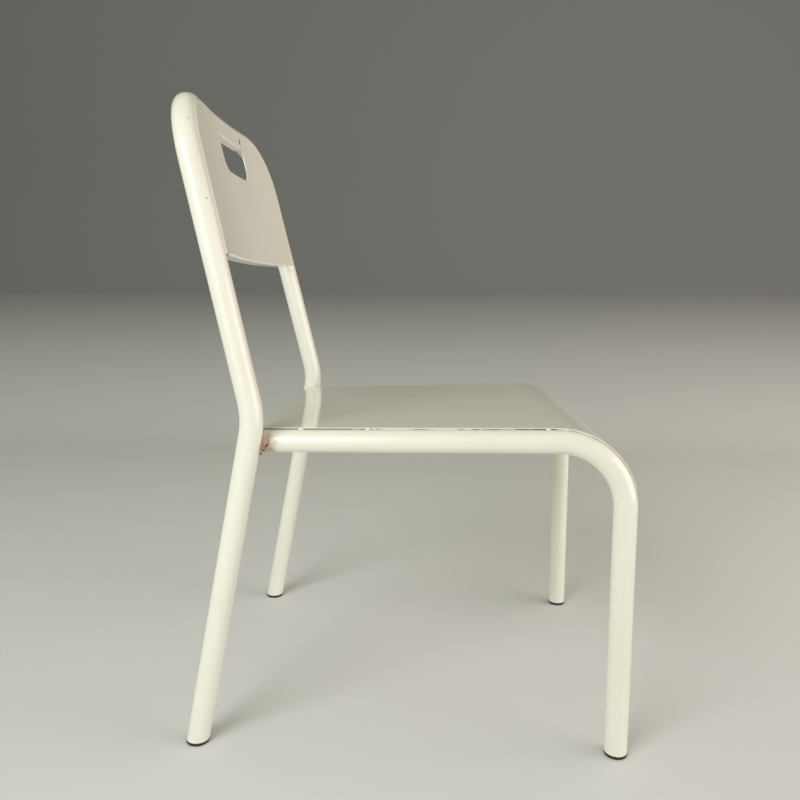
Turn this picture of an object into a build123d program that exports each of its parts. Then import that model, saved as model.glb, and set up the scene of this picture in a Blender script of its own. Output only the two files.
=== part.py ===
from build123d import *
import math
import os

os.makedirs("parts", exist_ok=True)

# Tube and sheet stock
tube_d = 25.0
tube_wall = 1.5
sheet_t = 1.0
sheet_gap = 0.3

# Spans between tube centre lines, across the chair
rear_foot_span = 394.0
kink_span = 388.0
top_span = 349.5
front_foot_span = 390.0
knee_span = 385.0

# Places of the centre lines from front to rear
base_depth = 468.0
rear_rake = 72.5
knee_set_back = 3.0

# Heights of the centre lines
kink_height = 371.5
knee_height = 351.0
rail_drop = 9.0

# Bend radii on the centre lines
kink_radius = 90.0
knee_radius = 70.5
corner_radius = 80.0

# Seat rail joint: room between the rail and the inner side of the rear leg, the rail's tail behind it, weld size
joint_gap = 0.3
rail_tail = 3.0
joint_bead = 5.5

# Backrest frame: lean of the back, length from the kink to the top rail, depth of its bow
back_lean = 12.6
back_rise = 347.5
back_bow = 10.5

# Seat sheet: gap that the stitch welds bridge, edges inboard of the rails' centre lines, roll, rear flange
seat_gap = 0.9
seat_side_inset = 1.5
seat_wrap_angle = 77.0
seat_corner_radius = 2.0
seat_flange_depth = 14.0

# Back sheet: lower edge measured up from the kink, edges from the tubes' centre lines, folded lower flange
panel_bottom = 172.8
panel_side_inset = 4.7
panel_top_lap = 2.0
flange_depth = 11.0

# Hand slot and the tab folded back from its upper edge
slot_bottom = 283.2
slot_height = 43.0
slot_width = 104.0
slot_corner_radius = 18.0
tab_depth = 9.4

# Folds in the sheets: outer radius, room beside the tubes and slits at the ends of a fold
fold_radius = 2.0
flange_side_gap = 2.5
end_slit = 3.0
relief_length = 12.0

# Foot glides
glide_height = 4.0
glide_edge_radius = 1.2
glide_plug_length = 16.0
glide_plug_gap = 0.3

# Stitch welds
stitch_radius = 1.5
stitch_gap = 0.05
seat_stitch_length = 5.0
seat_stitch_places = (0.16, 0.385, 0.97)
back_stitch_length = 14.0
back_stitch_places = (0.15, 0.85)
top_stitch_offset = 75.0

# Sizes that follow from those above
tube_r = tube_d / 2
bore_r = tube_r - tube_wall
lean = math.radians(back_lean)
bow_radius = ((top_span / 2) ** 2 + back_bow ** 2) / (2 * back_bow)


def bow_depth(x):
    """How far the bowed back stands forward of its middle at the distance x from the middle plane."""
    return bow_radius - math.sqrt(bow_radius ** 2 - x ** 2)


# The back's own axes: X across, Y to the rear, Z up along the back
back_up = Vector(0, math.sin(lean), math.cos(lean))
back_rearward = Vector(0, math.cos(lean), -math.sin(lean))
kink_bow = bow_depth(kink_span / 2)

# The origin is under the middle of the chair's whole depth
rear_reach = kink_bow * math.cos(lean) + back_rise * math.sin(lean) + tube_r
front_reach = base_depth - rear_rake + tube_r
kink_y = (front_reach - rear_reach) / 2
back_origin = Vector(0, kink_y, kink_height) + back_rearward * kink_bow
back_plane = Plane(origin=back_origin, x_dir=(1, 0, 0), z_dir=back_up)


def back_point(x, up, forward=0.0):
    """Point on the bowed back at the distance x across and the length up from the kink."""
    angle = math.asin(x / bow_radius)
    radius = bow_radius - forward
    return back_plane.from_local_coords(Vector(radius * math.sin(angle), radius * math.cos(angle) - bow_radius, up))


def bend(before, corner, after, radius):
    """Start, middle and end of a bend of the given radius at a corner."""
    a = (before - corner).normalized()
    b = (after - corner).normalized()
    half = math.radians(a.get_angle(b)) / 2
    start = corner + a * (radius / math.tan(half))
    end = corner + b * (radius / math.tan(half))
    middle = corner + (a + b).normalized() * (radius / math.sin(half) - radius)
    return start, middle, end


def round_bar(path, radius):
    """Solid bar of the given radius along a path."""
    return sweep(Plane(origin=path @ 0, z_dir=path % 0) * Circle(radius), path=path)


def straight_bar(start, end, radius):
    """Solid bar of the given radius between two points."""
    axis = end - start
    return Plane(origin=start, z_dir=axis) * Cylinder(
        radius, axis.length, align=(Align.CENTER, Align.CENTER, Align.MIN)
    )


def above_floor(shape, height):
    """The part of a shape that is above the given height."""
    return split(shape, bisect_by=Plane.XY.offset(height), keep=Keep.TOP)


def rear_foot(side):
    return Vector(side * rear_foot_span / 2, kink_y + rear_rake, 0)


def kink(side):
    return Vector(side * kink_span / 2, kink_y, kink_height)


def front_foot(side):
    return Vector(side * front_foot_span / 2, kink_y + rear_rake - base_depth, 0)


def knee(side):
    return Vector(side * knee_span / 2, kink_y + rear_rake - base_depth + knee_set_back, knee_height)


def rail_end(side):
    """Where the seat rail's centre line passes the inner side of the rear leg, or of the back post."""
    height = knee_height - rail_drop
    low, high = (rear_foot(side), kink(side)) if height < kink_height else (kink(side), post_end(side))
    beside = low + (high - low) * ((height - low.Z) / (high.Z - low.Z))
    return beside - Vector(side * (tube_d + joint_gap), 0, 0)


def below_floor(foot, above):
    """Point on a leg's centre line under the floor, so that the leg's end can be cut level."""
    return foot - (above - foot).normalized() * tube_d


# Backrest frame's flat outline: legs that close in towards the top, round corners, level top rail
top_corner = Vector(top_span / 2, back_rise, 0)
leg_base = Vector(kink_span / 2, 0, 0)
corner_start, corner_middle, corner_end = bend(leg_base, top_corner, Vector(0, back_rise, 0), corner_radius)
flat_corner = ThreePointArc(corner_start, corner_middle, corner_end)
corner_steps = 8


def post_end(side):
    """Upper end of a back post's straight centre line, where the round corner begins."""
    return back_point(side * corner_start.X, corner_start.Y)


def rail_tip(side):
    """End of the top rail's centre line, where the round corner ends."""
    return back_point(side * corner_end.X, corner_end.Y)


def round_corner(side):
    """The round corner laid on the bowed back, from the post to the top rail."""
    flat = [flat_corner @ (i / corner_steps) for i in range(corner_steps + 1)]
    points = [back_point(side * p.X, p.Y) for p in flat]
    slope = corner_end.X / bow_radius
    end_way = back_plane.from_local_coords(
        Vector(-side * math.sqrt(1 - slope ** 2), slope, 0)
    ) - back_origin
    return Spline(points, tangents=(post_end(side) - kink(side), end_way))


def leg_path(side):
    """Centre line of a rear leg and its back post."""
    start, middle, end = bend(rear_foot(side), kink(side), post_end(side), kink_radius)
    return [
        Line(below_floor(rear_foot(side), kink(side)), start),
        ThreePointArc(start, middle, end),
        Line(end, post_end(side)),
    ]


def leg_bar(side, radius):
    """Solid bar of the given radius along a rear leg and its back post."""
    return round_bar(Wire(leg_path(side)), radius)


# Rear frame: one tube bent into both rear legs, both back posts and the top rail
top_path = ThreePointArc(rail_tip(-1), back_point(0, back_rise), rail_tip(1))
rear_path = Wire(leg_path(-1) + [round_corner(-1), top_path, round_corner(1)] + leg_path(1))
rear_tube = round_bar(rear_path, tube_r) - round_bar(rear_path, bore_r)
rear_frame = above_floor(rear_tube, glide_height)


# Side frames: seat rail and front leg in one bent tube, whose rear end lies against the inner side of the rear leg
def rail_line(side, ahead):
    """Straight length of the seat rail's centre line, from its tail to the given distance ahead of the rear leg."""
    way = (knee(side) - rail_end(side)).normalized()
    return rail_end(side) - way * rail_tail, rail_end(side) + way * ahead


def side_path(side):
    start, middle, end = bend(rail_end(side), knee(side), front_foot(side), knee_radius)
    return Wire(
        [
            Line(rail_line(side, 0)[0], start),
            ThreePointArc(start, middle, end),
            Line(end, below_floor(front_foot(side), knee(side))),
        ]
    )


def side_frame(side):
    path = side_path(side)
    return above_floor(round_bar(path, tube_r) - round_bar(path, bore_r), glide_height)


side_frames = {side: side_frame(side) for side in (-1, 1)}

# Seat sheet: flat on the rails, rolled down round the knees at the front
rail_start = rail_end(1)
rail_way = knee(1) - rail_start
seat_slope = math.atan2(rail_way.Z, -rail_way.Y)
leg_way = front_foot(1) - knee(1)
leg_slope = math.atan2(-leg_way.Y, -leg_way.Z)
seat_under = tube_r + seat_gap
knee_turn = math.pi / 2 + seat_slope - leg_slope
knee_tangent = knee_radius * math.tan(knee_turn / 2)
roll_centre = Vector(
    0,
    knee(1).Y + knee_tangent * math.cos(seat_slope) - knee_radius * math.sin(seat_slope),
    knee(1).Z - knee_tangent * math.sin(seat_slope) - knee_radius * math.cos(seat_slope),
)


def roll_point(radius, angle):
    """Point of the rolled front edge, the angle counted from where the seat's flat ends."""
    turn = angle - seat_slope
    return roll_centre + Vector(0, -math.sin(turn), math.cos(turn)) * radius


def seat_line(height):
    """Ends of the flat, middle and end of the roll at a height above the rails' centre lines."""
    radius = knee_radius + height
    wrap = math.radians(seat_wrap_angle)
    up = Vector(0, math.sin(seat_slope), math.cos(seat_slope)) * height
    past_edge = Vector(0, math.cos(seat_slope), -math.sin(seat_slope)) * tube_d
    rear = Vector(0, rail_start.Y, rail_start.Z) + up + past_edge
    return rear, roll_point(radius, 0), roll_point(radius, wrap / 2), roll_point(radius, wrap)


under = seat_line(seat_under)
over = seat_line(seat_under + sheet_t)
seat_profile = make_face(
    Wire(
        [
            Line(under[0], under[1]),
            ThreePointArc(under[1], under[2], under[3]),
            Line(under[3], over[3]),
            ThreePointArc(over[3], over[2], over[1]),
            Line(over[1], over[0]),
            Line(over[0], under[0]),
        ]
    )
)

# The seat's own axes: X across, Y to the rear from the rails' rear ends, Z square to the flat
seat_plane = Plane(
    origin=Vector(0, rail_start.Y, rail_start.Z),
    x_dir=(1, 0, 0),
    z_dir=(0, math.sin(seat_slope), math.cos(seat_slope)),
)
rear_half_width = rail_start.X - seat_side_inset
front_half_width = knee(1).X - seat_side_inset
seat_length = math.hypot(rail_way.Y, rail_way.Z)
seat_outline = make_face(
    Polyline(
        (-rear_half_width, 0),
        (-front_half_width, -seat_length),
        (-front_half_width, -seat_length - tube_d),
        (front_half_width, -seat_length - tube_d),
        (front_half_width, -seat_length),
        (rear_half_width, 0),
        close=True,
    )
)
seat_outline = fillet(seat_outline.vertices().group_by(Axis.Y)[-1], seat_corner_radius)
seat_flange_half = rail_start.X - tube_r - flange_side_gap
seat_top = seat_under + sheet_t
seat_fold_low = seat_top - fold_radius
seat_flange_low = seat_top - seat_flange_depth
fold_inner = fold_radius - sheet_t
fold_half = math.sqrt(0.5)
seat_fold = make_face(
    Wire(
        [
            Line((-fold_radius, seat_under), (-fold_radius, seat_top)),
            ThreePointArc(
                (-fold_radius, seat_top),
                (fold_radius * (fold_half - 1), seat_fold_low + fold_radius * fold_half),
                (0, seat_fold_low),
            ),
            Line((0, seat_fold_low), (0, seat_flange_low)),
            Line((0, seat_flange_low), (-sheet_t, seat_flange_low)),
            Line((-sheet_t, seat_flange_low), (-sheet_t, seat_fold_low)),
            ThreePointArc(
                (-sheet_t, seat_fold_low),
                (fold_inner * fold_half - fold_radius, seat_fold_low + fold_inner * fold_half),
                (-fold_radius, seat_under),
            ),
        ]
    )
)
seat_side = seat_plane * Plane((0, 0, 0), x_dir=(0, 1, 0), z_dir=(1, 0, 0))


def through_seat(face):
    """Prism through the seat sheet over an outline drawn on the seat."""
    return extrude(seat_plane * face, amount=knee_height, both=True)


seat_blank = extrude(seat_profile, amount=knee_span, dir=(1, 0, 0), both=True)
seat_sheet = seat_blank & through_seat(seat_outline)
seat_sheet -= through_seat(Pos(0, -fold_radius / 2) * Rectangle(2 * seat_flange_half, fold_radius))
seat_sheet += extrude(seat_side * seat_fold, amount=seat_flange_half, both=True)
for side in (-1, 1):
    slit = Rectangle(end_slit, 2 * (relief_length + fold_radius))
    seat_sheet -= through_seat(Pos(side * (seat_flange_half + end_slit / 2), 0) * slit)

# Back sheet: bowed like the frame and laid on the front of it, with a flange folded back along its lower edge
rear_forward = tube_r + sheet_gap
panel_rear = bow_radius - rear_forward
panel_front = panel_rear - sheet_t
panel_top = back_rise + panel_top_lap
slot_top = slot_bottom + slot_height
back_axis_plane = back_plane * Pos(0, -bow_radius, 0)
bow_axis = Axis(back_axis_plane.position, back_up)


def bowed(outline, half_width):
    """Turn an outline of (radius, height) about the bow's axis, as wide as given on each side of the middle."""
    half_angle = math.degrees(math.asin(half_width / panel_front))
    turned = Plane(
        origin=bow_axis.position,
        x_dir=back_rearward.rotate(Axis((0, 0, 0), back_up), -half_angle),
        z_dir=Vector(1, 0, 0).rotate(Axis((0, 0, 0), back_up), -half_angle),
    )
    return revolve(turned * outline, axis=bow_axis, revolution_arc=2 * half_angle)


def folded(edge, depth):
    """Outline of the sheet's fold to the rear at the height edge, and of what is folded back."""
    corner = edge + fold_radius
    turn = panel_front + fold_radius
    tip = panel_front + depth
    outer = fold_radius / math.sqrt(2)
    inner = (fold_radius - sheet_t) / math.sqrt(2)
    return make_face(
        Wire(
            [
                ThreePointArc((panel_front, corner), (turn - outer, corner - outer), (turn, edge)),
                Line((turn, edge), (tip, edge)),
                Line((tip, edge), (tip, edge + sheet_t)),
                Line((tip, edge + sheet_t), (turn, edge + sheet_t)),
                ThreePointArc((turn, edge + sheet_t), (turn - inner, corner - inner), (panel_rear, corner)),
                Line((panel_rear, corner), (panel_front, corner)),
            ]
        )
    )


def through_back(face):
    """Prism through the back sheet over an outline drawn across and up the back."""
    front = back_plane * Plane((0, 0, 0), x_dir=(1, 0, 0), z_dir=(0, -1, 0))
    return extrude(front * face, amount=4 * tube_d, both=True)


def fold_back(edge, depth, half_width):
    """The fold at the height edge with square ends at the given distance from the middle."""
    return bowed(folded(edge, depth), half_width) & through_back(Pos(0, edge) * Rectangle(2 * half_width, tube_d))


def post_x(up):
    """Distance of a back post's centre line from the middle plane at the length up from the kink."""
    return kink_span / 2 + (top_span - kink_span) / 2 * up / back_rise


plain_strip = make_face(
    Polyline(
        (panel_front, panel_bottom),
        (panel_front, panel_top),
        (panel_rear, panel_top),
        (panel_rear, panel_bottom),
        close=True,
    )
)
flange_half = post_x(panel_bottom) - tube_r - flange_side_gap
panel_half = post_x(panel_bottom) - panel_side_inset
top_half = post_x(panel_top) - panel_side_inset
panel_outline = make_face(
    Polyline(
        (-panel_half, panel_bottom - tube_d),
        (panel_half, panel_bottom - tube_d),
        (panel_half, panel_bottom),
        (top_half, panel_top),
        (-top_half, panel_top),
        (-panel_half, panel_bottom),
        close=True,
    )
)
panel_outline = fillet(panel_outline.vertices().group_by(Axis.Y)[-1], corner_radius - panel_side_inset)
slot_face = Pos(0, slot_bottom + slot_height / 2) * Rectangle(slot_width, slot_height)
slot_face = fillet(slot_face.vertices().group_by(Axis.Y)[0], slot_corner_radius)
tab_half = slot_width / 2 - end_slit
fold_gap = Pos(0, slot_top + fold_radius / 2) * Rectangle(slot_width, fold_radius)
relief = Rectangle(end_slit, relief_length + fold_radius)
relief_x = slot_width / 2 - end_slit / 2
relief_up = slot_top + (relief_length + fold_radius) / 2
end_relief = Rectangle(end_slit, 2 * (relief_length + fold_radius))

back_sheet = bowed(plain_strip, post_x(0)) & through_back(panel_outline)
back_sheet -= through_back(Pos(0, panel_bottom + fold_radius / 2) * Rectangle(2 * flange_half, fold_radius))
back_sheet += fold_back(panel_bottom, flange_depth, flange_half)
back_sheet -= through_back(slot_face)
back_sheet -= through_back(fold_gap)
back_sheet += fold_back(slot_top, tab_depth, tab_half)
for side in (-1, 1):
    back_sheet -= through_back(Pos(side * relief_x, relief_up) * relief)
    back_sheet -= through_back(Pos(side * (flange_half + end_slit / 2), panel_bottom) * end_relief)


# Foot glides: a flat cap under the leg's level end and a plug in its bore
def glide(foot, above):
    way = (above - foot).normalized()
    level = way * (1 / way.Z)
    cap = straight_bar(foot - level * tube_d, foot + level * tube_d, tube_r)
    cap = above_floor(cap, 0)
    cap = split(cap, bisect_by=Plane.XY.offset(glide_height), keep=Keep.BOTTOM)
    cap = fillet(cap.faces().sort_by(Axis.Z)[0].edges(), glide_edge_radius)
    plug = straight_bar(foot, foot + level * (glide_height + glide_plug_length), bore_r - glide_plug_gap)
    return cap + above_floor(plug, glide_height / 2)


# Weld bead in the hollow between the seat rail and the rear leg, kept under the seat sheet
def joint_weld(side):
    rail = rail_line(side, 2 * tube_d)
    bead = straight_bar(*rail, tube_r + joint_bead) & leg_bar(side, tube_r + joint_bead)
    bead -= straight_bar(*rail, tube_r)
    bead -= leg_bar(side, tube_r)
    cover = Pos(0, 0, seat_under - seat_gap) * Box(
        2 * knee_span, 2 * base_depth, base_depth, align=(Align.CENTER, Align.CENTER, Align.MIN)
    )
    bead -= seat_plane * cover
    return bead.solids().sort_by(SortBy.VOLUME)[-1]


# Stitch welds along the seat sheet's edges, on top of each rail
def seat_weld(side):
    way = (knee(side) - rail_end(side)).normalized()
    length = (knee(side) - rail_end(side)).length - knee_tangent
    aside = Vector(-side * seat_side_inset, 0, 0)
    up = Vector(seat_plane.z_dir) * (seat_top - stitch_gap - stitch_radius)
    beads = []
    for place in seat_stitch_places:
        middle = rail_end(side) + way * (length * place) + aside + up
        half = way * (seat_stitch_length / 2)
        bead = straight_bar(middle - half, middle + half, stitch_radius) - seat_sheet
        bead -= straight_bar(rail_end(side), rail_end(side) + way * length, tube_r)
        beads.append(bead.solids().sort_by(SortBy.VOLUME)[-1])
    return Compound(children=beads)


# Stitch welds behind the back sheet, in the corners between it and the posts and the top rail
stitch_forward = rear_forward - stitch_gap - stitch_radius
stitch_inset = math.sqrt(tube_r ** 2 - stitch_forward ** 2) + stitch_radius / 2


def sheet_way(x):
    """Direction from the frame's tubes to the back sheet at the distance x from the middle plane."""
    return (back_point(x, 0, tube_r) - back_point(x, 0)).normalized()


def weld_section(centre, along, forward, inset):
    """Section of a bead that lies against a tube of the given centre, and just behind the sheet."""
    plane = Plane(origin=centre, x_dir=forward.cross(along), z_dir=along)
    return plane * (Pos(inset, stitch_forward) * Circle(stitch_radius) - Circle(tube_r))


def post_weld(side):
    beads = []
    post = post_end(side) - kink(side)
    for place in back_stitch_places:
        up = panel_bottom + (corner_start.Y - panel_bottom) * place - back_stitch_length / 2
        centre = kink(side) + post * (up / corner_start.Y)
        section = weld_section(centre, post.normalized(), sheet_way(side * post_x(up)), side * stitch_inset)
        beads.append(extrude(section, amount=back_stitch_length, dir=post))
    return Compound(children=beads)


def top_weld():
    beads = []
    for side in (-1, 1):
        x = side * top_stitch_offset + back_stitch_length / 2
        forward = sheet_way(x)
        section = weld_section(back_point(x, back_rise), forward.cross(back_up), forward, stitch_inset)
        beads.append(revolve(section, axis=bow_axis, revolution_arc=math.degrees(back_stitch_length / bow_radius)))
    return Compound(children=beads)


nodes = {
    "rear_frame": rear_frame,
    "seat_sheet": seat_sheet,
    "back_sheet": back_sheet,
    "back_weld_top": top_weld(),
}
for name, side in (("right", -1), ("left", 1)):
    nodes["side_frame_" + name] = side_frames[side]
    nodes["glide_front_" + name] = glide(front_foot(side), knee(side))
    nodes["glide_rear_" + name] = glide(rear_foot(side), kink(side))
    nodes["joint_weld_" + name] = joint_weld(side)
    nodes["seat_weld_" + name] = seat_weld(side)
    nodes["back_weld_" + name] = post_weld(side)

for name, shape in nodes.items():
    export_step(shape, "parts/" + name + ".step")
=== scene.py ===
import math

import bmesh
import bpy
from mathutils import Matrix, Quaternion, Vector, noise as rough
from mathutils.bvhtree import BVHTree


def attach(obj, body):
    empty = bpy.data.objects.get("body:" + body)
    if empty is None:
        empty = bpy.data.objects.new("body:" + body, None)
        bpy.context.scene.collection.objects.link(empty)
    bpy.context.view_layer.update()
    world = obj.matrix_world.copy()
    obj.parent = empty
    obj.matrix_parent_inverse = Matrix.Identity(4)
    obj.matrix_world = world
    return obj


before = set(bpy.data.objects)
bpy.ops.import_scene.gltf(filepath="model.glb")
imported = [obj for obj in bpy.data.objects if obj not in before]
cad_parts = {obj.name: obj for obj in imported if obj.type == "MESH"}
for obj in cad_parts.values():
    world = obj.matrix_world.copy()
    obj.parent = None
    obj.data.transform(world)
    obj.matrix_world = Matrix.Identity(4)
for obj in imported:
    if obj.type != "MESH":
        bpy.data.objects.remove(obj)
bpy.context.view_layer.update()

# Viewpoint: the chair's right side, a little above the seat (radians; lens and sensor in millimetres)
CAMERA_PLACE = Vector((-0.92982, -0.03683, 0.50475))
CAMERA_TURN = 0.0476
CAMERA_TILT = 0.1508
CAMERA_ROLL = 0.0043
CAMERA_LENS = 32.175
CAMERA_SENSOR = 36.0

# Colours
WARM_WHITE = (0.83, 0.82, 0.73, 1)
AGED_WHITE = (0.76, 0.72, 0.59, 1)
RUST = (0.25, 0.12, 0.07, 1)
RUST_STAIN = (0.60, 0.41, 0.32, 1)
BARE_STEEL = (0.16, 0.14, 0.12, 1)
# Near black: painted shade of slits and of the seat gap, and worn spots on the post; brown: dirt where the
# gap's painted shade is thin
DARK_SHADE_AND_WEAR = (0.035, 0.024, 0.018, 1)
THIN_GAP_SHADE_AND_DIRT = (0.30, 0.22, 0.14, 1)
GLIDE_BLACK = (0.012, 0.012, 0.013, 1)
GLIDE_SCUFF = (0.07, 0.068, 0.065, 1)
FLOOR_PALE = (0.72, 0.72, 0.72, 1)
WALL_GREY = (0.20, 0.20, 0.205, 1)

# Noises, each as scale, detail and roughness, and the part of each noise's range that is used
CLOUD_NOISE = (7.0, 4.0, 0.55)
CLOUD_RANGE = (0.42, 0.78)
SMEAR_NOISE = (38.0, 5.0, 0.6)
SMEAR_RANGE = (0.3, 0.75)
PEEL_NOISE = (420.0, 1.0, 0.5)
CHIP_NOISE = (500.0, 3.0, 0.5)
RUST_NOISE = (260.0, 6.0, 0.65)
RUST_RANGE = (0.50, 0.58)
STAIN_NOISE = (90.0, 4.0, 0.5)
STAIN_RANGE = (0.10, 0.50)
GAP_PATCH_NOISE = (80.0, 5.0, 0.7)
BARE_RANGE = (0.40, 0.50)
SCUFF_NOISE = (160.0, 6.0, 0.7)
SCUFF_RANGE = (0.5, 0.75)

# Enamel: how far it yellows, and the relief of its orange peel and of its thickness in metres
YELLOWING = 0.45
PEEL_HEIGHT = 0.000012
PAINT_DEPTH = 0.00015
ENAMEL_IOR = 1.6
WORN_ROUGHNESS = 0.75

# Chips in the enamel: cells per metre with one chip each; sizes as shares of a cell
CHIP_CELLS = 14.0
CHIP_RAGGEDNESS = 0.02
CHIP_RANGE = (0.02, 0.03)

# Middle of the weld between a seat rail and a rear leg, on the left side; the right side mirrors it.
# Rust is thickest inside the core and ends at the reach
JOINT = (0.182, 0.148, 0.339)
RUST_CORE = 0.010
RUST_REACH = 0.021
STAIN_STRENGTH = 0.8

# Worn spots on the right back post: middle, radius and strength
POST_SPOTS = (
    ((-0.1894, 0.1961, 0.5979), 0.0016, 0.40),
    ((-0.1754, 0.2173, 0.6790), 0.0032, 0.16),
)

# Painted shade on slits at the ends of the back sheet's folds: X of the wall, lowest and highest Z of the
# painted shade
SHADED_SLITS = (
    (0.052, 0.6975, 0.7040),
    (-0.1694, 0.5375, 0.5450),
)
SLIT_REACH = 0.0009

# The back's front way and middle, and how high and how far out its hand slot and its lower flange go
BACK_LEAN = math.radians(12.6)
BACK_FRONT = Vector((0, -math.cos(BACK_LEAN), math.sin(BACK_LEAN)))
BACK_MIDDLE = Vector((0, 0.2, 0.6))
SLOT_TOP = 0.706
SLOT_REACH = 0.09
FLANGE_TOP = 0.557
FLANGE_REACH = 0.175

# The back sheet's rim is where a face that looks to the front meets one that looks outward, and not down
LOOKS_FRONT = 0.9
LOOKS_SIDEWAYS = 0.4
LOOKS_DOWN = -0.5

# Filled seam round the back sheet: its width on the sheet and on the tube, its rise and its depth
SEAM_ON_SHEET = 0.0025
SEAM_ON_TUBE = 0.003
SEAM_RISE = 0.00012
SEAM_DEPTH = 0.0006
SEAM_STEP = 0.012
SEAM_SHARP = math.radians(50)

# Painted shade, with some brown dirt, in the gap under the seat sheet's edge: the ends of its line on the
# left side, how far inside the line it lies and how unevenly, its top and foot from the line, and its depth
GAP_SHADE_REAR = Vector((0.1674, 0.155, 0.3545))
GAP_SHADE_FRONT = Vector((0.1866, -0.166, 0.3618))
GAP_SHADE_STEPS = 160
GAP_SHADE_INSIDE = 0.0006
GAP_SHADE_UNEVENNESS = 0.0003
GAP_SHADE_UNEVEN_SCALE = 300
GAP_SHADE_TOP = Vector((0, 0, 0.00095))
GAP_SHADE_FOOT = Vector((0, 0, -0.0002))
GAP_SHADE_DEPTH = 0.0012

# That painted shade grows dark from the first Y to the second (at the rear, the rear leg's painted shadow),
# and where it is dark it leaves fewer bare patches
THICK_AT_REAR = (0.01, 0.07)
THICK_AT_FRONT = (-0.09, -0.15)
THICK_COVER = 0.2

# Roughness of that painted shade and of the bare patches in it, and of the glides clean and scuffed
GAP_SHADE_ROUGHNESS = (0.85, 0.35)
GLIDE_ROUGHNESS = (0.42, 0.7)

# Vertices closer than this are one
MERGE_REACH = 1e-6

# Stage: the floor's start, the wall's place and top, the sweep between them and where the wall is fully grey
FLOOR_START = -4.0
WALL_PLACE = 2.4
WALL_TOP = 3.4
STAGE_WIDTH = 10.0
SWEEP_RADIUS = 1.1
SWEEP_SEGMENTS = 24
FULL_GREY_FROM = 0.5
PAPER_ROUGHNESS = 0.9

# Where the lamps point, and the light from all round
CHAIR_MIDDLE = Vector((0, 0, 0.36))
WORLD_COLOUR = (0.95, 1.0, 0.78, 1)
WORLD_STRENGTH = 0.44


def feed(tree, socket, value):
    """An input set to a number or a colour, or joined to another node's output."""
    if isinstance(value, bpy.types.NodeSocket):
        tree.links.new(value, socket)
    else:
        socket.default_value = value


def object_place(tree):
    return tree.nodes.new("ShaderNodeTexCoord").outputs["Object"]


def place_parts(tree):
    """X, Y and Z of the place on the object."""
    apart = tree.nodes.new("ShaderNodeSeparateXYZ")
    feed(tree, apart.inputs["Vector"], object_place(tree))
    return apart.outputs


def distance(tree, place, middle):
    made = tree.nodes.new("ShaderNodeVectorMath")
    made.operation = "DISTANCE"
    feed(tree, made.inputs[0], place)
    feed(tree, made.inputs[1], middle)
    return made.outputs["Value"]


def noise(tree, place, scale, detail=2.0, roughness=0.5):
    made = tree.nodes.new("ShaderNodeTexNoise")
    for name, value in (("Vector", place), ("Scale", scale), ("Detail", detail), ("Roughness", roughness)):
        feed(tree, made.inputs[name], value)
    return made.outputs["Fac"]


def span(tree, value, low, high, to_low=0.0, to_high=1.0):
    """The value stretched from one range to another, and held inside it."""
    made = tree.nodes.new("ShaderNodeMapRange")
    names = ("Value", "From Min", "From Max", "To Min", "To Max")
    for name, given in zip(names, (value, low, high, to_low, to_high)):
        feed(tree, made.inputs[name], given)
    return made.outputs["Result"]


def maths(tree, operation, *values):
    made = tree.nodes.new("ShaderNodeMath")
    made.operation = operation
    for socket, value in zip(made.inputs, values):
        feed(tree, socket, value)
    return made.outputs["Value"]


def blend_colours(tree, amount, first, second):
    made = tree.nodes.new("ShaderNodeMix")
    made.data_type = "RGBA"
    factor = next(s for s in made.inputs if s.type == "VALUE")
    colours = [s for s in made.inputs if s.type == "RGBA"]
    for socket, value in zip((factor, *colours), (amount, first, second)):
        feed(tree, socket, value)
    return next(s for s in made.outputs if s.type == "RGBA")


def new_group(name, inputs, outputs):
    """An empty shader node group, and its named inputs and outputs as they are met inside it."""
    tree = bpy.data.node_groups.new(name, "ShaderNodeTree")
    for label in inputs:
        tree.interface.new_socket(name=label, in_out="INPUT", socket_type="NodeSocketFloat")
    for label in outputs:
        kind = "NodeSocketColor" if label == "Color" else "NodeSocketFloat"
        tree.interface.new_socket(name=label, in_out="OUTPUT", socket_type=kind)
    return tree, tree.nodes.new("NodeGroupInput").outputs, tree.nodes.new("NodeGroupOutput").inputs


def use_group(tree, group, values):
    """A node group placed in a material with the material's own values."""
    made = tree.nodes.new("ShaderNodeGroup")
    made.node_tree = group
    for name, value in values.items():
        made.inputs[name].default_value = value
    return made.outputs


def enamel_group():
    """Aged enamel: slow yellowing, gloss with smears, waves with a fine orange peel, a few small chips."""
    inputs = ["Clean Roughness", "Smeared Roughness", "Wave Scale", "Wave Height"]
    tree, given, out = new_group("enamel_age", inputs, ["Color", "Roughness", "Height", "Chips"])
    place = object_place(tree)
    clouds = span(tree, noise(tree, place, *CLOUD_NOISE), *CLOUD_RANGE, 0.0, YELLOWING)
    feed(tree, out["Color"], blend_colours(tree, clouds, WARM_WHITE, AGED_WHITE))
    smears = span(tree, noise(tree, place, *SMEAR_NOISE), *SMEAR_RANGE)
    gloss = span(tree, smears, 0.0, 1.0, given["Clean Roughness"], given["Smeared Roughness"])
    feed(tree, out["Roughness"], gloss)
    cells = tree.nodes.new("ShaderNodeTexVoronoi")
    feed(tree, cells.inputs["Vector"], place)
    feed(tree, cells.inputs["Scale"], CHIP_CELLS)
    ragged = maths(tree, "MULTIPLY", noise(tree, place, *CHIP_NOISE), CHIP_RAGGEDNESS)
    ragged = maths(tree, "ADD", cells.outputs["Distance"], ragged)
    chips = span(tree, ragged, *CHIP_RANGE, 1.0, 0.0)
    feed(tree, out["Chips"], chips)
    swell = maths(tree, "MULTIPLY", noise(tree, place, given["Wave Scale"]), given["Wave Height"])
    peel = maths(tree, "MULTIPLY", noise(tree, place, *PEEL_NOISE), PEEL_HEIGHT)
    painted = maths(tree, "ADD", swell, peel)
    feed(tree, out["Height"], maths(tree, "SUBTRACT", painted, maths(tree, "MULTIPLY", chips, PAINT_DEPTH)))
    return tree


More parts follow.
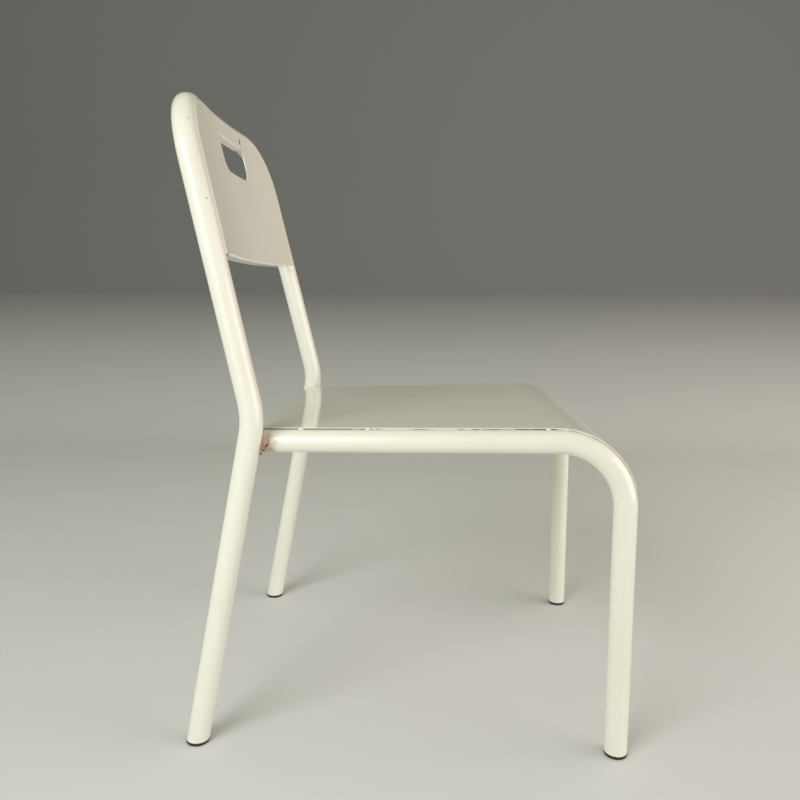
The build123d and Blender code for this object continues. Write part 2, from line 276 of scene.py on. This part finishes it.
def rust_group():
    """Rust that breaks through the paint around the joints of rail and rear leg, and the stain around it."""
    tree, given, out = new_group("joint_rust", ["Reach"], ["Rust", "Stain"])
    x, y, z = place_parts(tree)
    mirrored = tree.nodes.new("ShaderNodeCombineXYZ")
    for socket, value in zip(mirrored.inputs, (maths(tree, "ABSOLUTE", x), y, z)):
        feed(tree, socket, value)
    away = distance(tree, mirrored.outputs["Vector"], JOINT)
    near = span(tree, away, RUST_CORE, given["Reach"], 1.0, 0.0)
    place = object_place(tree)
    blotches = maths(tree, "MULTIPLY", near, noise(tree, place, *RUST_NOISE))
    feed(tree, out["Rust"], span(tree, blotches, *RUST_RANGE))
    haze = maths(tree, "MULTIPLY", near, noise(tree, place, *STAIN_NOISE))
    feed(tree, out["Stain"], span(tree, haze, *STAIN_RANGE, 0.0, STAIN_STRENGTH))
    return tree


ENAMEL = enamel_group()
JOINT_RUST = rust_group()


def new_material(name):
    material = bpy.data.materials.new(name)
    material.use_nodes = True
    tree = material.node_tree
    return material, tree, tree.nodes["Principled BSDF"]


def enamel_paint(name, gloss, waves, marks=None):
    """Warm white enamel: roughness clean and smeared, waves as scale and height in metres, dark marks
    (painted shade on the sheets' slits, worn spots on the tubes).
    """
    material, tree, shader = new_material(name)
    values = {
        "Clean Roughness": gloss[0],
        "Smeared Roughness": gloss[1],
        "Wave Scale": waves[0],
        "Wave Height": waves[1],
    }
    age = use_group(tree, ENAMEL, values)
    rust = use_group(tree, JOINT_RUST, {"Reach": RUST_REACH})
    colour = blend_colours(tree, rust["Stain"], age["Color"], RUST_STAIN)
    colour = blend_colours(tree, age["Chips"], colour, BARE_STEEL)
    colour = blend_colours(tree, rust["Rust"], colour, RUST)
    # Dark marks: painted shade of slits on the sheet paint, worn spots on the tube paint
    if marks:
        colour = blend_colours(tree, marks(tree), colour, DARK_SHADE_AND_WEAR)
    feed(tree, shader.inputs["Base Color"], colour)
    worn = maths(tree, "MULTIPLY", maths(tree, "MAXIMUM", rust["Rust"], age["Chips"]), WORN_ROUGHNESS)
    feed(tree, shader.inputs["Roughness"], maths(tree, "MAXIMUM", age["Roughness"], worn))
    bump = tree.nodes.new("ShaderNodeBump")
    bump.inputs["Distance"].default_value = 1.0
    feed(tree, bump.inputs["Height"], age["Height"])
    feed(tree, shader.inputs["Normal"], bump.outputs["Normal"])
    shader.inputs["IOR"].default_value = ENAMEL_IOR
    return material


def slit_shade_marks(tree):
    """Painted shade: near-black marks on the walls of two slits at the ends of the back sheet's folds,
    standing in for the dark of their openings.
    """
    x, _, z = place_parts(tree)
    marks = []
    for wall_x, low, high in SHADED_SLITS:
        beside = maths(tree, "ABSOLUTE", maths(tree, "SUBTRACT", x, wall_x))
        wall = maths(tree, "LESS_THAN", beside, SLIT_REACH)
        above = maths(tree, "GREATER_THAN", z, low)
        below = maths(tree, "LESS_THAN", z, high)
        marks.append(maths(tree, "MULTIPLY", wall, maths(tree, "MULTIPLY", above, below)))
    return maths(tree, "MAXIMUM", *marks)


def post_spots(tree):
    """Two small worn spots in the paint of the right back post."""
    spots = []
    for middle, radius, strength in POST_SPOTS:
        away = distance(tree, object_place(tree), middle)
        spots.append(span(tree, away, radius / 2, radius, strength, 0.0))
    return maths(tree, "MAXIMUM", *spots)


def gap_shade_material():
    """Painted shade, with some brown dirt, in the gap under the seat's edge: near black at the two ends,
    brown, thin and broken by paint between.
    """
    material, tree, shader = new_material("gap_shade_and_dirt")
    _, y, _ = place_parts(tree)
    amount = maths(tree, "MAXIMUM", span(tree, y, *THICK_AT_REAR), span(tree, y, *THICK_AT_FRONT))
    cover = maths(tree, "MULTIPLY", amount, THICK_COVER)
    patches = noise(tree, object_place(tree), *GAP_PATCH_NOISE)
    bare = span(tree, maths(tree, "SUBTRACT", patches, cover), *BARE_RANGE)
    # Brown dirt where the gap's painted shade is thin, near black where it is dark
    shade_and_dirt = blend_colours(tree, amount, THIN_GAP_SHADE_AND_DIRT, DARK_SHADE_AND_WEAR)
    feed(tree, shader.inputs["Base Color"], blend_colours(tree, bare, shade_and_dirt, AGED_WHITE))
    feed(tree, shader.inputs["Roughness"], span(tree, bare, 0.0, 1.0, *GAP_SHADE_ROUGHNESS))
    return material


def glide_plastic():
    """Black plastic with grey scuffs."""
    material, tree, shader = new_material("glide_plastic")
    scuffs = span(tree, noise(tree, object_place(tree), *SCUFF_NOISE), *SCUFF_RANGE)
    feed(tree, shader.inputs["Base Color"], blend_colours(tree, scuffs, GLIDE_BLACK, GLIDE_SCUFF))
    feed(tree, shader.inputs["Roughness"], span(tree, scuffs, 0.0, 1.0, *GLIDE_ROUGHNESS))
    return material


def dress(names, material):
    for name in names:
        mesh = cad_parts[name].data
        mesh.materials.clear()
        mesh.materials.append(material)


TUBES = ["rear_frame", "side_frame_right", "side_frame_left"]
GLIDES = ["glide_front_right", "glide_front_left", "glide_rear_right", "glide_rear_left"]
WELDS = [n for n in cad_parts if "weld" in n]
dress(TUBES, enamel_paint("tube_paint", gloss=(0.14, 0.26), waves=(40.0, 0.00006), marks=post_spots))
# The sheet paint's dark marks are painted shade on two slits
SHEET_PAINT = enamel_paint("sheet_paint", gloss=(0.04, 0.09), waves=(9.0, 0.00035), marks=slit_shade_marks)
dress(["seat_sheet", "back_sheet"], SHEET_PAINT)
dress(WELDS, enamel_paint("weld_paint", gloss=(0.18, 0.40), waves=(260.0, 0.0016)))
dress(GLIDES, glide_plastic())


def add_piece(name, shape, material):
    """A new piece of the chair from a finished shape."""
    bmesh.ops.recalc_face_normals(shape, faces=shape.faces)
    mesh = bpy.data.meshes.new(name)
    shape.to_mesh(mesh)
    shape.free()
    mesh.materials.append(material)
    piece = bpy.data.objects.new(name, mesh)
    bpy.context.scene.collection.objects.link(piece)
    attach(piece, "root")


def sweep_lines(lines):
    """A closed shape through lines of points that run side by side, the last one joined to the first."""
    shape = bmesh.new()
    row = [shape.verts.new(p) for p in lines[0]]
    edges = [shape.edges.new(pair) for pair in zip(row, row[1:])]
    first_edges = list(edges)
    for line in lines[1:]:
        made = bmesh.ops.extrude_edge_only(shape, edges=edges)["geom"]
        fresh = {g for g in made if isinstance(g, bmesh.types.BMVert)}
        row = [next(e.other_vert(v) for e in v.link_edges if e.other_vert(v) in fresh) for v in row]
        for vert, point in zip(row, line):
            vert.co = point
        edges = [shape.edges.get(pair) for pair in zip(row, row[1:])]
    bmesh.ops.bridge_loops(shape, edges=first_edges + edges)
    bmesh.ops.holes_fill(shape, edges=[e for e in shape.edges if e.is_boundary], sides=len(lines))
    return shape


def inside_rim(place):
    """Whether a place on the back sheet belongs to its hand slot or its lower flange."""
    reach = SLOT_REACH if place.z > FLANGE_TOP else FLANGE_REACH
    return abs(place.x) < reach and place.z < SLOT_TOP


def sheet_rim():
    """Front rim of the back sheet between its lower corners: point, way outward and way to the front."""
    shape = bmesh.new()
    shape.from_mesh(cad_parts["back_sheet"].data)
    bmesh.ops.remove_doubles(shape, verts=shape.verts, dist=MERGE_REACH)
    ways = {}
    for edge in shape.edges:
        middle = (edge.verts[0].co + edge.verts[1].co) / 2
        if len(edge.link_faces) != 2 or inside_rim(middle):
            continue
        front, side = sorted((f.normal for f in edge.link_faces), key=lambda n: -n.dot(BACK_FRONT))
        faces_front = front.dot(BACK_FRONT) > LOOKS_FRONT and abs(side.dot(BACK_FRONT)) < LOOKS_SIDEWAYS
        faces_out = side.dot(middle - BACK_MIDDLE) > 0 and side.z > LOOKS_DOWN
        if faces_front and faces_out:
            for vert, other in (edge.verts, reversed(edge.verts)):
                ways.setdefault(vert, []).append((other, side.copy(), front.copy()))
    vert = min((v for v, links in ways.items() if len(links) == 1), key=lambda v: v.co.x)
    chain, before = [], None
    while vert:
        links = ways[vert]
        out = sum((side for _, side, _ in links), Vector()).normalized()
        front = sum((way for _, _, way in links), Vector()).normalized()
        chain.append((vert.co.copy(), out, front))
        onward = [other for other, _, _ in links if other is not before]
        before, vert = vert, onward[0] if onward else None
    shape.free()
    return chain


def seam_filler():
    """Painted filler from the back sheet's front rim out to the tube, all round but along the lower edge."""
    chain = sheet_rim()
    tube = BVHTree.FromObject(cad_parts["rear_frame"], bpy.context.evaluated_depsgraph_get())
    lines = [[], [], [], [], []]
    for start, end in zip(chain, chain[1:]):
        steps = max(1, math.ceil((end[0] - start[0]).length / SEAM_STEP))
        for i in range(steps + (end is chain[-1])):
            place, out, front = (a.lerp(b, i / steps) for a, b in zip(start, end))
            inner = place - out * SEAM_ON_SHEET + front * SEAM_RISE / 4
            lip = place + (out + front) * SEAM_RISE
            above = place + out * SEAM_ON_TUBE + front * SEAM_STEP
            outer = tube.ray_cast(above, -front)[0] + front * SEAM_RISE / 4
            section = (inner, lip, outer, outer - front * SEAM_DEPTH, inner - front * SEAM_DEPTH)
            for line, point in zip(lines, section):
                line.append(point)
    shape = sweep_lines(lines)
    for face in shape.faces:
        face.smooth = True
    for edge in shape.edges:
        edge.smooth = len(edge.link_faces) == 2 and edge.calc_face_angle(0) < SEAM_SHARP
    add_piece("seam_filler", shape, SHEET_PAINT)


def gap_shade_strip(name, side, material):
    """A dark strip of painted shade, with some dirt, between a seat rail and the edge of the seat sheet,
    uneven along its length.
    """
    mirror = Vector((side, 1, 1))
    deeper = Vector((-side * GAP_SHADE_DEPTH, 0, 0))
    lines = [[], [], [], []]
    for i in range(GAP_SHADE_STEPS + 1):
        place = GAP_SHADE_REAR.lerp(GAP_SHADE_FRONT, i / GAP_SHADE_STEPS) * mirror
        uneven = rough.noise(place * GAP_SHADE_UNEVEN_SCALE)
        outer = Vector((-side * (GAP_SHADE_INSIDE + GAP_SHADE_UNEVENNESS * uneven), 0, 0))
        inner = outer + deeper
        section = (outer + GAP_SHADE_TOP, outer + GAP_SHADE_FOOT, inner + GAP_SHADE_FOOT, inner + GAP_SHADE_TOP)
        for line, shift in zip(lines, section):
            line.append(place + shift)
    add_piece(name, sweep_lines(lines), material)


seam_filler()
# Strips of painted shade, with some brown dirt, in the gaps between the seat rails and the seat sheet
GAP_SHADE = gap_shade_material()
gap_shade_strip("gap_shade_right", -1, GAP_SHADE)
gap_shade_strip("gap_shade_left", 1, GAP_SHADE)


# Stage: a pale floor that sweeps up into a grey wall
def sweep_backdrop():
    shape = bmesh.new()
    aside = Vector((0, STAGE_WIDTH / 2, 0))
    corner = Vector((WALL_PLACE, 0, 0))
    profile = (Vector((FLOOR_START, 0, 0)), corner, Vector((WALL_PLACE, 0, WALL_TOP)))
    points = [shape.verts.new(p - aside) for p in profile]
    edges = [shape.edges.new(pair) for pair in zip(points, points[1:])]
    made = bmesh.ops.extrude_edge_only(shape, edges=edges)
    moved = [g for g in made["geom"] if isinstance(g, bmesh.types.BMVert)]
    bmesh.ops.translate(shape, verts=moved, vec=aside * 2)
    fold = [e for e in shape.edges if all((v.co - corner).xz.length < MERGE_REACH for v in e.verts)]
    bmesh.ops.bevel(
        shape,
        geom=fold,
        offset=SWEEP_RADIUS,
        affect="EDGES",
        segments=SWEEP_SEGMENTS,
        profile=0.5,
        material=-1,
    )
    bmesh.ops.recalc_face_normals(shape, faces=shape.faces)
    mesh = bpy.data.meshes.new("backdrop")
    shape.to_mesh(mesh)
    shape.free()
    for face in mesh.polygons:
        face.use_smooth = True
    backdrop = bpy.data.objects.new("backdrop", mesh)
    bpy.context.scene.collection.objects.link(backdrop)
    material, tree, shader = new_material("backdrop_paper")
    _, _, z = place_parts(tree)
    rise = span(tree, z, 0.0, FULL_GREY_FROM)
    feed(tree, shader.inputs["Base Color"], blend_colours(tree, rise, FLOOR_PALE, WALL_GREY))
    shader.inputs["Roughness"].default_value = PAPER_ROUGHNESS
    mesh.materials.append(material)


sweep_backdrop()


# Light: two keys from the camera's left, a low fill from the chair's front and a weak warm one beyond it
def area_light(name, place, size, watts, colour=(1, 1, 1)):
    data = bpy.data.lights.new(name, "AREA")
    data.shape = "SQUARE"
    data.size = size
    data.energy = watts
    data.color = colour
    lamp = bpy.data.objects.new(name, data)
    bpy.context.scene.collection.objects.link(lamp)
    lamp.location = place
    lamp.rotation_euler = (CHAIR_MIDDLE - Vector(place)).to_track_quat("-Z", "Y").to_euler()


area_light("key", place=(-1.7, 1.1, 1.5), size=1.2, watts=24)
area_light("low_key", place=(-1.85, 1.0, 0.75), size=1.2, watts=7)
area_light("front_fill", place=(-0.7, -2.4, 0.6), size=1.8, watts=32, colour=(1.0, 0.92, 0.93))
area_light("warm_fill", place=(0.6, -2.6, 1.2), size=1.8, watts=14, colour=(1.0, 0.72, 0.68))

world = bpy.data.worlds.new("studio")
bpy.context.scene.world = world
world.use_nodes = True
background = world.node_tree.nodes["Background"]
background.inputs["Color"].default_value = WORLD_COLOUR
background.inputs["Strength"].default_value = WORLD_STRENGTH


# Camera
def add_camera():
    level = math.cos(CAMERA_TILT)
    rise = -math.sin(CAMERA_TILT)
    forward = Vector((math.cos(CAMERA_TURN) * level, math.sin(CAMERA_TURN) * level, rise))
    data = bpy.data.cameras.new("camera")
    data.lens = CAMERA_LENS
    data.sensor_width = CAMERA_SENSOR
    camera = bpy.data.objects.new("camera", data)
    bpy.context.scene.collection.objects.link(camera)
    camera.location = CAMERA_PLACE
    camera.rotation_mode = "QUATERNION"
    camera.rotation_quaternion = forward.to_track_quat("-Z", "Y") @ Quaternion((0, 0, 1), CAMERA_ROLL)
    bpy.context.scene.camera = camera


add_camera()
bpy.context.scene.view_settings.view_transform = "Standard"
